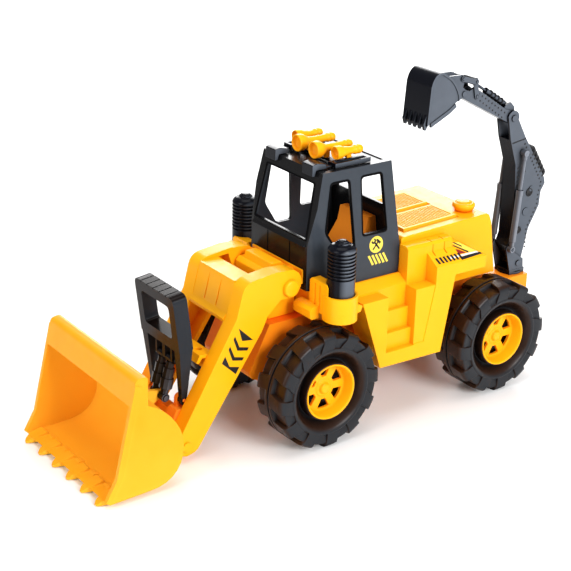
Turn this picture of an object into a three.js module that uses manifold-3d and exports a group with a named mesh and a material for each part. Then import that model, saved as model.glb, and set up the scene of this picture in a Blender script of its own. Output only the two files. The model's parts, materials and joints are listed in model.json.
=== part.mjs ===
// Toy backhoe loader, a push-along vehicle in moulded plastic.
// Millimetres. X is the vehicle's left, Y its rear and Z up. Heights start at the ground, and
// distances along Y start at the front axle until the whole toy is centred at the end.
import * as THREE from 'three';
import { mergeVertices } from 'three/addons/utils/BufferGeometryUtils.js';
import Module from 'manifold-3d';

const wasm = await Module();
wasm.setup();

// ---- Driving dimensions ----
const gap = 0.3; // between pieces that touch
const running = 0.7; // radial play of a pin in its hole
const wall = 3; // moulded shell thickness

const tyreR = 65;
const tyreInnerX = 60;
const tyreOuterX = 107;
const treadDepth = 5;
const lugCount = 12;
const rimR = 30.6;
const rimFaceX = 93.5; // outer face of the spokes
const spokeCount = 6;
const axleR = 3;
const wheelbase = 245;

const chassisHalf = 44;
const bodyHalf = 60;
const deckZ = 127; // top of the chassis, under the yellow body
const floorZ = 158; // body top, under the cab
const hoodFrontY = 125.5;
const podFrontY = 123;
const hoodTopZ = 197; // at the front; the hood rises slowly to the rear
const hoodRise = 4.3 / 125;
const podX = 75;
const skirtX = 93;
const skirtTopZ = 148;

const cabHalf = 60;
const roofHalf = 53;
const roofZ = 285;
const cabWall = 3.2;

const rackHeight = 5;
const tieHeight = 2.2;
const lampZ = 298; // axis of the roof lamps

const stack = { x: 88, y: 22, r: 15 };
const armInX = 33;
const armOutX = 52;
const armPivot = [-16.5, 167.3]; // Y, Z of the loader arms' hinge
const bucketPivot = [-143, 18];
const handlePivot = [-133, 60];
const linkTop = [-134, 100];
const linkFoot = [-144, 58];
const bucketHalf = 88.3;
const pinR = 3.5;
const smallPinR = 2;

const swingY = 354.3; // backhoe's upright pin
const tongueTopZ = 90;
const boomPivot = [354.3, 104];
const boomHalf = 10.5;
const barrelFoot = [338, 126];
const rodPin = [348, 244.8];
const barrelX = 16.2;
const stickPivot = [329.7, 288.4];
const stickHalf = 7.6;
const digPivot = [249, 328];
const crankPivot = [270, 322];
const crankReach = [-4, 18]; // from each lower pivot of the digging linkage to its upper one
const stickRamFoot = [324, 303];
const digHalf = 20;

// ---- Solids ----
function solidOf(geometry) {
  const bare = geometry.clone();
  bare.deleteAttribute('normal');
  bare.deleteAttribute('uv');
  const merged = mergeVertices(bare, 1e-4);
  const vertProperties = new Float32Array(merged.attributes.position.array);
  const triVerts = new Uint32Array(merged.index.array);
  return new wasm.Manifold(new wasm.Mesh({ numProp: 3, vertProperties, triVerts }));
}

function geometryOf(solid) {
  const mesh = solid.getMesh();
  const geometry = new THREE.BufferGeometry();
  geometry.setAttribute('position', new THREE.Float32BufferAttribute(mesh.vertProperties, 3));
  geometry.setIndex(Array.from(mesh.triVerts));
  geometry.computeVertexNormals();
  return geometry;
}

const join = (...solids) => solids.reduce((sum, next) => sum.add(next));
const cut = (solid, ...tools) => tools.reduce((rest, tool) => rest.subtract(tool), solid);

function outline(points) {
  return new THREE.Shape(points.map(([a, b]) => new THREE.Vector2(a, b)));
}

// An outline swept between two values of one axis. The other two axes are the outline's own.
const sweepAxes = {
  x: [[0, 1, 0], [0, 0, 1], [1, 0, 0]],
  y: [[-1, 0, 0], [0, 0, 1], [0, 1, 0]],
  z: [[1, 0, 0], [0, 1, 0], [0, 0, 1]],
};

function sweep(axis, shape, from, to, curveSegments = 6) {
  const geometry = new THREE.ExtrudeGeometry(shape, { depth: to - from, bevelEnabled: false, curveSegments });
  geometry.translate(0, 0, from);
  const [a, b, c] = sweepAxes[axis].map((v) => new THREE.Vector3(...v));
  geometry.applyMatrix4(new THREE.Matrix4().makeBasis(a, b, c));
  return solidOf(geometry);
}

const alongX = (shape, from, to, curveSegments) => sweep('x', shape, from, to, curveSegments);
const alongZ = (shape, from, to, curveSegments) => sweep('z', shape, from, to, curveSegments);
// Seen from the front: the outline's first number is X, so it is turned over before the sweep.
function alongY(points, from, to) {
  return sweep('y', outline(points.map(([x, z]) => [-x, z])), from, to);
}

function box(x0, x1, y0, y1, z0, z1) {
  const geometry = new THREE.BoxGeometry(x1 - x0, y1 - y0, z1 - z0);
  geometry.translate((x0 + x1) / 2, (y0 + y1) / 2, (z0 + z1) / 2);
  return solidOf(geometry);
}

function cylinder(from, to, r, sides = 12) {
  const a = new THREE.Vector3(...from);
  const b = new THREE.Vector3(...to);
  const span = b.clone().sub(a);
  const geometry = new THREE.CylinderGeometry(r, r, span.length(), sides);
  geometry.applyQuaternion(new THREE.Quaternion().setFromUnitVectors(
    new THREE.Vector3(0, 1, 0), span.clone().normalize()));
  geometry.translate(...a.add(b).multiplyScalar(0.5).toArray());
  return solidOf(geometry);
}

const pin = ([y, z], r, x0, x1, sides = 10) => cylinder([x0, y, z], [x1, y, z], r, sides);

// A round bar with steps: each step is [distance from the start, radius].
function steppedBar(from, to, steps, sides = 10) {
  const a = new THREE.Vector3(...from);
  const direction = new THREE.Vector3(...to).sub(a).normalize();
  const at = (d) => a.clone().addScaledVector(direction, d).toArray();
  const bite = 0.05; // each step reaches a little into the one before it, so that they join
  const bars = steps.slice(1).map(([d, r], i) => cylinder(at(steps[i][0] - bite), at(d), r, sides));
  return join(...bars);
}

// A flat plate with round ends between two pivots, spread along X.
function plate([y0, z0], [y1, z1], r, x0, x1) {
  const angle = Math.atan2(z1 - z0, y1 - y0);
  const shape = new THREE.Shape();
  shape.absarc(y1, z1, r, angle - Math.PI / 2, angle + Math.PI / 2);
  shape.absarc(y0, z0, r, angle + Math.PI / 2, angle + 1.5 * Math.PI);
  return alongX(shape, x0, x1, 4);
}

const both = (make) => join(make(1), make(-1));
// The piece between two distances from the centre plane, on one side or the other.
const sideRange = (side, inner, outer) => (side > 0 ? [inner, outer] : [-outer, -inner]);

const mirrored = (solid) => solid.mirror([1, 0, 0]);

// ---- Materials and nodes ----
const finishes = {
  yellow: { color: 0xffb91a, roughness: 0.32, metalness: 0 },
  orange: { color: 0xf0701c, roughness: 0.35, metalness: 0 },
  black: { color: 0x1d1f22, roughness: 0.38, metalness: 0 },
  grey: { color: 0x3a3d41, roughness: 0.42, metalness: 0 },
  tread: { color: 0x232427, roughness: 0.6, metalness: 0 },
  steel: { color: 0xb4b6ba, roughness: 0.3, metalness: 1 },
};

function node(name, solid, finish) {
  const mesh = new THREE.Mesh(geometryOf(solid), new THREE.MeshStandardMaterial(finishes[finish]));
  mesh.name = name;
  return mesh;
}

function leftAndRight(name, solid, finish) {
  return [node(`${name}_left`, solid, finish), node(`${name}_right`, mirrored(solid), finish)];
}

// ---- Wheels, made at the centre of their axle ----
// The tread's outline: flat-topped lugs, wide at the top and narrow between.
function lugShape() {
  const shape = new THREE.Shape();
  const pitch = (2 * Math.PI) / lugCount;
  const rootR = tyreR - treadDepth;
  const stops = [[0, tyreR], [0.6, tyreR], [0.66, rootR], [0.94, rootR]];
  for (let lug = 0; lug < lugCount; lug += 1) {
    for (const [share, r] of stops) {
      const angle = -Math.PI / 2 + (lug + share) * pitch;
      shape.lineTo(r * Math.cos(angle), r * Math.sin(angle));
    }
  }
  return shape;
}

function turned(profile, segments) {
  const points = profile.map(([r, x]) => new THREE.Vector2(r, x));
  const geometry = new THREE.LatheGeometry(points, segments);
  geometry.rotateZ(-Math.PI / 2);
  return solidOf(geometry);
}

function tyre() {
  const boreR = rimR + 0.4;
  const blocks = alongX(lugShape(), tyreInnerX, tyreOuterX);
  const bore = turned([
    [0, tyreInnerX - 1], [boreR, tyreInnerX - 1], [boreR, tyreOuterX - 6],
    [boreR + 6, tyreOuterX + 1], [0, tyreOuterX + 1],
  ], 18);
  const hollow = turned([
    [boreR + wall, tyreInnerX - 1], [tyreR - 9, tyreInnerX - 1], [tyreR - 9, tyreOuterX - 5],
    [boreR + wall, tyreOuterX - 9], [boreR + wall, tyreInnerX - 1],
  ], 18);
  return cut(blocks, bore, hollow);
}

function rim() {
  const lipX = tyreOuterX - 0.2;
  const faceX = rimFaceX;
  const innerX = tyreInnerX + 6;
  const body = turned([
    [0, faceX - 4], [rimR - 3, faceX - 4], [rimR - 3, innerX], [rimR, innerX], [rimR, lipX],
    [rimR - 3, lipX], [rimR - 4, faceX], [7, faceX], [5, faceX + 4], [0, faceX + 4],
  ], 18);
  const boss = turned([[0, innerX + 8], [7, innerX + 8], [7, faceX - 3], [0, faceX - 3]], 12);
  const bore = turned([[0, innerX], [axleR + gap, innerX], [axleR + gap, faceX - 1], [0, faceX - 1]], 12);
  const windows = [];
  for (let spoke = 0; spoke < spokeCount; spoke += 1) {
    const angle = ((spoke + 0.5) * 2 * Math.PI) / spokeCount;
    const corner = (r, half) => [
      r * Math.cos(angle) - half * Math.sin(angle), r * Math.sin(angle) + half * Math.cos(angle)];
    const window = outline([corner(13, -3), corner(24, -8), corner(24, 8), corner(13, 3)]);
    windows.push(alongX(window, faceX - 6, faceX + 2));
  }
  return cut(join(body, boss), bore, ...windows);
}

function wheelSet(label, y) {
  const set = new THREE.Group();
  const tyreSolid = tyre();
  const rimSolid = rim();
  const axleEnd = rimFaceX - 1 - gap;
  set.add(node(`${label}_axle`, pin([0, 0], axleR, -axleEnd, axleEnd), 'steel'));
  for (const [side, turn] of [['left', 0], ['right', Math.PI]]) {
    const pair = new THREE.Group();
    pair.add(node(`${label}_tyre_${side}`, tyreSolid, 'tread'));
    pair.add(node(`${label}_rim_${side}`, rimSolid, 'yellow'));
    pair.rotation.z = turn;
    set.add(pair);
  }
  set.position.set(0, y, tyreR);
  return set;
}

// ---- Chassis and body ----
function chassis() {
  const side = new THREE.Shape();
  side.moveTo(-36, deckZ);
  side.lineTo(-60, 78);
  side.quadraticCurveTo(-60, 67, -48, 67);
  side.lineTo(-36, 70);
  side.lineTo(-34, 52);
  side.lineTo(264, 52);
  side.lineTo(268, deckZ);
  const body = alongX(side, -chassisHalf, chassisHalf, 4);
  const hollow = alongX(outline([[-31, 40], [-32, 73], [-46, 73], [-54, 79], [-33, deckZ - wall],
    [263, deckZ - wall], [261, 40]]), -chassisHalf + wall, chassisHalf - wall);
  const ribs = [60, 180].map((y) => box(-chassisHalf + 1, chassisHalf - 1, y - 1.5, y + 1.5, 62, deckZ - 1));
  const tongue = box(-19, 19, 262, 367, 70, tongueTopZ);
  const tongueHollow = box(-16, 16, 268, 340, 60, tongueTopZ - wall);
  const holes = [0, wheelbase].map((y) => pin([y, tyreR], axleR + running, -60, 60));
  const swingHole = cylinder([0, swingY, 60], [0, swingY, 100], 5 + running, 16);
  return cut(join(cut(body, hollow), ...ribs, tongue), tongueHollow, ...holes, swingHole);
}

const hoodTopAt = (y) => hoodTopZ + (y - hoodFrontY) * hoodRise;

// The yellow upper body: a low floor under the cab and the raised engine hood behind it.
function bodyShell() {
  const base = deckZ + gap;
  const side = outline([
    [8, base], [8, floorZ], [hoodFrontY, floorZ], [hoodFrontY, hoodTopZ - 3], [hoodFrontY + 3, hoodTopZ],
    [250.5, hoodTopAt(250.5)], [254.5, hoodTopAt(250.5) - 2], [258.6, 190], [268.8, base],
  ]);
  const inner = outline([
    [8 + wall, base - 5], [8 + wall, floorZ - wall], [hoodFrontY + wall, floorZ - wall],
    [hoodFrontY + wall, hoodTopZ - 2 * wall], [251, hoodTopAt(251) - 2 * wall], [255, 189], [265, base - 5],
  ]);
  const shell = cut(alongX(side, -bodyHalf, bodyHalf), alongX(inner, -bodyHalf + wall, bodyHalf - wall));
  return cut(shell, onHood(138, 219, -2.4, 3, -48, 48));
}

// A slab that follows the hood's top, between two heights measured from it.
function onHood(y0, y1, low, high, x0, x1) {
  return alongX(outline([[y0, hoodTopAt(y0) + low], [y1, hoodTopAt(y1) + low], [y1, hoodTopAt(y1) + high],
    [y0, hoodTopAt(y0) + high]]), x0, x1);
}

function deckGrille() {
  const panel = onHood(140, 217, -2.4 + gap, 2.4, 4, 46);
  const slots = [];
  for (let row = 0; row < 9; row += 1) {
    const y = 145 + row * 7.8;
    slots.push(onHood(y, y + 2.2, 1, 4, 8, 42));
  }
  return cut(panel, ...slots);
}

function fillerCap() {
  const geometry = new THREE.LatheGeometry([
    [0, 0], [10.5, 0], [11.5, 2], [13, 5.5], [12, 8.5], [9, 10], [0, 10.5],
  ].map(([r, z]) => new THREE.Vector2(r, z)), 16);
  geometry.rotateX(Math.PI / 2);
  return solidOf(geometry);
}

// Side pod: entry steps below, a long box beside the hood and the rear wheel's mudguard.
function sidePod() {
  const x0 = bodyHalf + gap;
  const mudguardFrontY = 150;
  const mudguardRearY = 222;
  const podRearY = 186.5;
  const skirt = outline([
    [49, skirtTopZ], [76.5, 67], [162.5, 65], [178, 154], [mudguardRearY, 154],
    [mudguardRearY, 168], [mudguardFrontY, 168], [mudguardFrontY, skirtTopZ],
  ]);
  const skirtCore = outline([
    [49 + wall + 1, skirtTopZ - wall], [76.5 + wall, 67 + wall], [162.5 - wall, 65 + wall],
    [178 - wall, 154 + wall], [mudguardRearY - wall, 154 + wall], [mudguardRearY - wall, 166],
    [mudguardFrontY + wall, 166], [mudguardFrontY + wall, skirtTopZ - wall],
  ]);
  const core = alongX(skirtCore, x0 - 1, skirtX - wall);
  const stepSpace = box(71, skirtX, 81, 126, 60, 170);
  const slope = mudguardTop(x0, skirtX, mudguardFrontY, mudguardRearY, 0);
  const slopeCore = mudguardTop(x0 - 1, skirtX - wall, mudguardFrontY + wall, mudguardRearY - wall, wall);
  const podTop = hoodTopZ - 6.5;
  const pod = alongY([[x0, skirtTopZ - wall], [podX, skirtTopZ - wall], [podX, podTop - 3],
    [podX - 3, podTop], [x0, podTop]], podFrontY, podRearY);
  const podCore = box(x0 - 1, podX - wall, podFrontY + wall, podRearY - wall, skirtTopZ, podTop - wall);
  const ledge = alongY([[x0, skirtTopZ - wall], [podX, skirtTopZ - wall], [podX, skirtTopZ + 2],
    [x0 + 2, floorZ], [x0, floorZ]], 38 + gap, podFrontY + 1);
  const steps = [[86, 83, 102], [80, 102, 125], [74, 125, 170]];
  const stepCuts = steps.map(([x, low, high]) => box(x, skirtX + 5, 84, 123, low, high));
  const panelCut = alongX(outline([[122, 160], [mudguardFrontY, 160], [mudguardFrontY, skirtTopZ],
    [137, 84], [122, 84]]), skirtX - 1, skirtX + 5);
  const grooves = [158, 174.5].map((y) => cut(box(x0 + 3, podX + 5, y - 0.7, y + 0.7, 175, podTop + 1),
    box(x0, podX - 1, y - 1, y + 1, 170, podTop - 1)));
  const shell = join(cut(alongX(skirt, x0, skirtX), core.subtract(stepSpace)), ledge,
    cut(join(slope, pod), podCore, slopeCore));
  return cut(shell, ...stepCuts, panelCut, ...grooves);
}

// The mudguard's top: level along its outer edge, and falling to the rear beside the hood.
function mudguardTop(x0, x1, y0, y1, drop) {
  const corners = [];
  const top = [[x1, y0, 168], [x1, y1, 167.5], [x0, y0, 189], [x0, 187 - drop, 187.5], [x0, y1, 169.5]];
  for (const [x, y, z] of top) {
    corners.push([x, y, z - drop], [x, y, 160 - drop]);
  }
  return wasm.Manifold.hull(corners);
}

// Headlamp box, the cup that holds a stack, and the small step in front of them.
function lampBracket() {
  const lamp = alongY([[57, 144], [59, 142], [86, 142], [88, 144], [88, 174], [85, 177], [60, 177],
    [57, 174]], 5.3, 16);
  const grooves = [66, 74].map((x) => box(x, x + 2, 4, 6.3, 146, 173));
  const cup = cylinder([stack.x, stack.y, 137], [stack.x, stack.y, 165], 18.5, 20);
  const cupSpace = cylinder([stack.x, stack.y, 140], [stack.x, stack.y, 180], stack.r + 0.8, 20);
  const web = box(bodyHalf + gap, stack.x, 15, 38, 137, 155);
  const behindWeb = alongX(outline([[30, 138], [46, 141], [48.5, 147], [30, 155]]), podX + 2, skirtX);
  const step = alongX(outline([[-6, 138], [-4, 136], [5.5, 136], [5.5, 150], [-3, 149], [-6, 146]]),
    chassisHalf + gap, 74);
  const bodySpace = box(50, bodyHalf + gap, 8 - gap, 40, 130, 180);
  return cut(join(lamp, cup, web, behindWeb, step), bodySpace, cupSpace, ...grooves);
}

function exhaustStack() {
  const base = 140 + gap;
  const profile = [[0, base], [stack.r - 0.3, base], [stack.r - 0.3, 184]];
  const ribPitch = 4.2;
  for (let rib = 0; rib < 7; rib += 1) {
    const z = 184.5 + rib * ribPitch;
    profile.push([stack.r, z], [stack.r - 1.4, z + ribPitch - 0.8]);
  }
  profile.push([stack.r - 1, 215], [6.5, 219], [6, 222], [0, 224]);
  const geometry = new THREE.LatheGeometry(profile.map(([r, z]) => new THREE.Vector2(r, z)), 14);
  geometry.rotateX(Math.PI / 2);
  geometry.translate(stack.x, stack.y, 0);
  return solidOf(geometry);
}

// The nose carries the loader arms' hinge pin between them.
function noseBlock() {
  const half = armInX - 1.5;
  const side = outline([[-29, deckZ + gap], [-29, 174], [-25, 178], [4.7, 178], [4.7, deckZ + gap]]);
  const top = alongX(outline([[-24, 177], [-21, 186], [-8, 186], [-3, 177]]), -24, 24);
  const hollow = box(-half + wall, half - wall, -26, 1.7, deckZ - 5, 160);
  const wing = box(-46, 46, 2.7, 4.7, 165, 181);
  const hole = pin(armPivot, pinR + running, -60, 60);
  return cut(join(alongX(side, -half, half), top, wing), hollow, hole);
}

// ---- Cab ----
// The cab's outer form, or the space inside it when inset by the wall.
function cabForm(inset) {
  const low = floorZ + gap - (inset > 0 ? 5 : 0);
  const side = alongX(outline([
    [5 + inset, low], [5 + inset, 209], [21 + inset, roofZ - inset], [111.5 - inset, roofZ - inset],
    [124.4 - inset, 181], [121.8 - inset, low],
  ]), -70, 70);
  const front = alongY([
    [cabHalf - inset, low], [cabHalf - inset, 181], [roofHalf - inset, roofZ - inset],
    [-roofHalf + inset, roofZ - inset], [-cabHalf + inset, 181], [-cabHalf + inset, low],
  ], -10, 140);
  const plan = alongZ(outline([
    [-51 + inset, 0], [51 - inset, 0], [51 - inset, 5], [cabHalf - inset, 22], [cabHalf - inset, 140],
    [-cabHalf + inset, 140], [-cabHalf + inset, 22], [-51 + inset, 5],
  ]), 100, 300);
  return side.intersect(front).intersect(plan);
}

function roundedOutline(points, r) {
  const shape = new THREE.Shape();
  const corners = points.map(([a, b]) => new THREE.Vector2(a, b));
  corners.forEach((corner, i) => {
    const before = corners[(i + corners.length - 1) % corners.length];
    const after = corners[(i + 1) % corners.length];
    const start = corner.clone().add(before.clone().sub(corner).setLength(r));
    const end = corner.clone().add(after.clone().sub(corner).setLength(r));
    if (i === 0) shape.moveTo(start.x, start.y);
    else shape.lineTo(start.x, start.y);
    shape.quadraticCurveTo(corner.x, corner.y, end.x, end.y);
  });
  return shape;
}

function cab() {
  const frontDoor = alongX(roundedOutline(
    [[31, 272], [55, 272], [62, 195], [42, 195], [24.5, 222]], 4), -80, 80, 3);
  const rearDoor = alongX(roundedOutline([[71, 273], [98, 273], [105, 210], [73, 210]], 4), -80, 80, 3);
  const windscreen = alongY([[-42, 272], [42, 272], [46, 214], [-46, 214]], -5, 40);
  const rearWindow = alongY([[-40, 270], [40, 270], [43, 231], [-43, 231]], 80, 140);
  const grooves = [-20, 20].map((x) => box(x - 0.9, x + 0.9, 4, 6, 165, 205));
  const rearDip = box(-46, 46, 30, 106, roofZ - 1, roofZ + 1);
  const sill = alongX(outline([[2.5, 207], [8, 213], [8, 207]]), -47, 47);
  const shell = cut(cabForm(0), cabForm(cabWall), frontDoor, rearDoor, windscreen, rearWindow);
  return join(cut(shell, ...grooves, rearDip), sill);
}

// Raised trim on the roof: two blocks over the windscreen and a rack bar on each side.
function roofTrim() {
  const z = roofZ + gap;
  const blockSide = outline([[15.5, z - 6], [19.2, z - 6], [20.6, z], [34, z], [33, z + 5], [22, z + 7.5],
    [15.5, z + 6]]);
  const block = (side) => alongX(blockSide, ...sideRange(side, 24, 42));
  const rack = (side) => cut(box(...sideRange(side, 33, 46), 42, 89, z, z + rackHeight),
    box(...sideRange(side, 38, 44), 46, 85, z + 2, z + 6));
  const tie = box(-34, 34, 51, 58, z, z + tieHeight);
  const rail = (side) => box(...sideRange(side, 36, 40), 30, 44, z, z + 2);
  return join(both(block), both(rack), both(rail), tie);
}

function seat() {
  const base = floorZ + gap;
  const back = outline([[80, base], [88, 176], [103, 197], [106.5, 213.5], [116.6, 213.5],
    [120.2, 183], [118, base]]);
  const backSpace = outline([[84, base - 2], [91.5, 175], [106.5, 196], [109.5, 210.5], [112, 210.5],
    [116.4, 183], [115, base - 2]]);
  const cushion = outline([[56, base], [54, 168], [58, 173], [86.5, 173], [81, base]]);
  const cushionSpace = outline([[59, base - 2], [57.5, 167], [59.5, 170], [81, 170], [77, base - 2]]);
  const body = join(alongX(back, -25, 25), alongX(cushion, -25, 25));
  return cut(body, alongX(backSpace, -22, 22), alongX(cushionSpace, -22, 22));
}

// A trumpet roof lamp lying along Y, its open cup to the front, on a short foot.
function roofLight(cupR, length, axisZ) {
  const profile = [
    [0, 5], [cupR - 2, 4], [cupR - 1.2, 0], [cupR, 0], [cupR - 0.4, 8], [4.6, 14.5], [4.1, 20],
    [4.1, length - 10], [5.2, length - 7], [4.1, length - 3], [0, length],
  ];
  const geometry = new THREE.LatheGeometry(profile.map(([r, y]) => new THREE.Vector2(r, y)), 12);
  geometry.translate(0, 0, axisZ);
  const foot = box(-2, 2, 15, 21, 0, axisZ - 1);
  return join(solidOf(geometry), foot);
}

function roofLights() {
  const onRack = roofZ + rackHeight + 2 * gap;
  const onTie = roofZ + tieHeight + 2 * gap;
  const rows = [[-35, 49, 7.2, 36, onRack], [-15, 36, 9.2, 51, onTie],
    [15, 36, 9.2, 51, onTie], [35, 49, 7.2, 36, onRack]];
  return rows.map(([x, y, cupR, length, base], i) => {
    const light = node(`roof_light_${i + 1}`, roofLight(cupR, length, lampZ - base), 'yellow');
    light.position.set(x, y, base);
    return light;
  });
}

// ---- Loader ----
function loaderArm() {
  const side = new THREE.Shape();
  side.moveTo(-28, 156);
  side.lineTo(-44, 141);
  side.lineTo(-51, 126);
  side.lineTo(-127, 15);
  side.quadraticCurveTo(-131, 8, -143, 7);
  side.quadraticCurveTo(-154, 8, -153, 22);
  side.lineTo(-147.5, 36);
  side.lineTo(-82.4, 146.7);
  side.lineTo(-76, 172);
  side.quadraticCurveTo(-74, 182, -64, 184.5);
  side.lineTo(-36, 188);
  side.lineTo(-18, 187);
  side.absarc(-17, 171.5, 15.5, Math.PI / 2, -Math.PI / 2, true);
  const channel = outline([[-31, 163], [-50, 145], [-60, 122], [-128, 25], [-146, 27], [-142, 36],
    [-79.5, 143], [-72, 172], [-62, 180], [-37, 182]]);
  const holes = [
    pin(armPivot, pinR + running, 20, 60),
    pin(bucketPivot, pinR + running, 20, 60),
  ];
  return cut(alongX(side, armInX, armOutX, 4), alongX(channel, armInX - 1, armOutX - wall), ...holes);
}

function armCrossbeam() {
  const half = armInX - gap;
  const side = outline([[-73, 181], [-50, 181], [-50, 176], [-66, 175], [-77, 147], [-78, 138],
    [-86, 138], [-87, 142], [-82, 147]]);
  const grooves = [-11, 11].map((x) => {
    const groove = outline([[-74, 176], [-80, 176], [-90, 148], [-79.9, 148]]);
    return alongX(groove, x - 0.8, x + 0.8);
  });
  return cut(alongX(side, -half, half), ...grooves);
}

function armLowerBrace() {
  const half = armInX - gap;
  const side = outline([[-115, 107], [-98, 106], [-91, 98], [-99, 83], [-103, 85], [-96, 97], [-100, 102],
    [-112, 103], [-116, 98], [-119, 99]]);
  const holes = both((side) => cylinder([side * 16, -106, 95], [side * 16, -106, 115], 4, 12));
  return cut(alongX(side, -half, half), holes);
}

// Between the arms' lower ends: a cross member with the two ears that carry the handle.
function handleBracket() {
  const half = armInX - gap;
  const block = outline([[-147, 44], [-142, 33], [-133, 33], [-128, 48], [-132, 52], [-143, 52]]);
  const bar = outline([[-138, 31], [-128, 31], [-124, 40], [-129, 43], [-138, 43]]);
  const ear = (side) => plate(handlePivot, [-134, 46], 5, ...sideRange(side, 19, 24.5));
  const stub = (side) => pin(handlePivot, smallPinR, ...sideRange(side, 24, 31.5));
  const blocks = both((side) => alongX(block, ...sideRange(side, 17, half)));
  return join(blocks, alongX(bar, -18, 18), both(ear), both(stub));
}

function hingePin(centre, r, half, headR, headWidth) {
  const shank = pin(centre, r, -half - gap - 0.5, half + gap + 0.5);
  const head = (side) => pin(centre, headR, ...sideRange(side, half + gap, half + gap + headWidth));
  return join(shank, both(head));
}

function handle() {
  const lean = THREE.MathUtils.degToRad(7.4);
  const low = 118.5;
  const depth = 8.2;
  const grip = new THREE.Shape();
  grip.moveTo(-38, 0);
  grip.lineTo(38, 0);
  grip.lineTo(38, 54);
  grip.quadraticCurveTo(38, 62, 30, 62);
  grip.lineTo(-30, 62);
  grip.quadraticCurveTo(-38, 62, -38, 54);
  grip.holes.push(roundedOutline([[-27, 13], [27, 13], [27, 50], [-27, 50]], 5));
  const geometry = new THREE.ExtrudeGeometry(grip, {
    depth: 2 * depth, bevelEnabled: false, curveSegments: 4,
  });
  geometry.translate(0, 0, -depth);
  geometry.rotateX(Math.PI / 2 + lean);
  geometry.translate(0, -134.2, low);
  const ridges = [];
  for (let ridge = 0; ridge < 5; ridge += 1) {
    const slot = new THREE.BoxGeometry(1.6, 30, 3);
    slot.translate(-24 + ridge * 12, 0, 62);
    slot.rotateX(lean);
    slot.translate(0, -134.2, low);
    ridges.push(solidOf(slot));
  }
  const legFront = [[25, 55], [31, 55], [38, 122], [27, 122]];
  const legSide = alongX(outline([[-135.5, 55], [-130.5, 55], [-126.4, 122], [-142.2, 122]]), -40, 40);
  const leg = (side) => join(
    alongY(legFront.map(([x, z]) => [side * x, z]), -150, -120).intersect(legSide),
    pin(handlePivot, 4.6, ...sideRange(side, 25, 31)),
  );
  const ears = join(
    plate(linkTop, [-134, 121], 4.4, -2.6, 2.6),
    both((side) => plate(linkTop, [-134, 121], 4.4, ...sideRange(side, 13.4, 16.4))),
  );
  const holes = [
    pin(handlePivot, smallPinR + running, -40, 40),
    pin(linkTop, smallPinR + running, -20, 20),
  ];
  const body = join(cut(solidOf(geometry), ...ridges), both(leg), ears);
  return cut(body, ...holes);
}

// A dummy tilt cylinder that ties the handle to the bucket.
function tiltLink() {
  const x = 8;
  const top = [x, ...linkTop];
  const foot = [x, ...linkFoot];
  const length = Math.hypot(linkTop[0] - linkFoot[0], linkTop[1] - linkFoot[1]);
  const barrel = steppedBar(top, foot, [[4, 0], [11, 4.6], [22, 6], [length - 10, 7.2], [length - 4, 4.2]]);
  const eyes = join(pin(linkTop, 4.8, x - 4.5, x + 4.5), pin(linkFoot, 4.8, x - 4.5, x + 4.5));
  const holes = [linkTop, linkFoot].map((centre) => pin(centre, smallPinR + running, x - 6, x + 6));
  return cut(join(barrel, eyes), ...holes);
}

function bucketOutline() {
  const shape = new THREE.Shape();
  shape.moveTo(-253, 3.6);
  shape.lineTo(-208, 5.4);
  shape.bezierCurveTo(-184, 5.4, -168.6, 20, -168.6, 45);
  shape.bezierCurveTo(-168.6, 66, -186, 90, -209, 99.8);
  shape.lineTo(-208.8, 127);
  shape.quadraticCurveTo(-208.8, 132, -214, 131.5);
  shape.lineTo(-217.5, 131);
  shape.quadraticCurveTo(-222, 130.5, -223, 126);
  shape.lineTo(-245.5, 29.5);
  shape.lineTo(-258, 8);
  return shape;
}

// The space for the load, with a pocket above it behind the lip panel.
function bucketSpace() {
  const shape = new THREE.Shape();
  shape.moveTo(-264, 6.5);
  shape.lineTo(-208, 8.6);
  shape.bezierCurveTo(-186, 8.6, -171.8, 22, -171.8, 45);
  shape.bezierCurveTo(-171.8, 63, -188, 87, -212.2, 97.6);
  shape.lineTo(-212.2, 128);
  shape.lineTo(-219.4, 127);
  shape.lineTo(-224.6, 103.5);
  shape.lineTo(-240, 103.5);
  return shape;
}

// A pointed tooth on the floor's front edge, and the small pad behind the gap beside it.
function bucketTooth(x) {
  const plan = outline([[-7.2, -238], [-7.2, -251], [-3.4, -261], [-1.5, -263], [1.5, -263], [3.4, -261],
    [7.2, -251], [7.2, -238]]);
  const side = outline([[-238, 7.3], [-241, 10.4], [-258, 6.2], [-263, 2.6], [-263, 0.8],
    [-250, 1.8], [-238, 5.4]]);
  return alongX(side, x - 8, x + 8).intersect(alongZ(plan, 0, 20).translate([x, 0, 0]));
}

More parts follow.
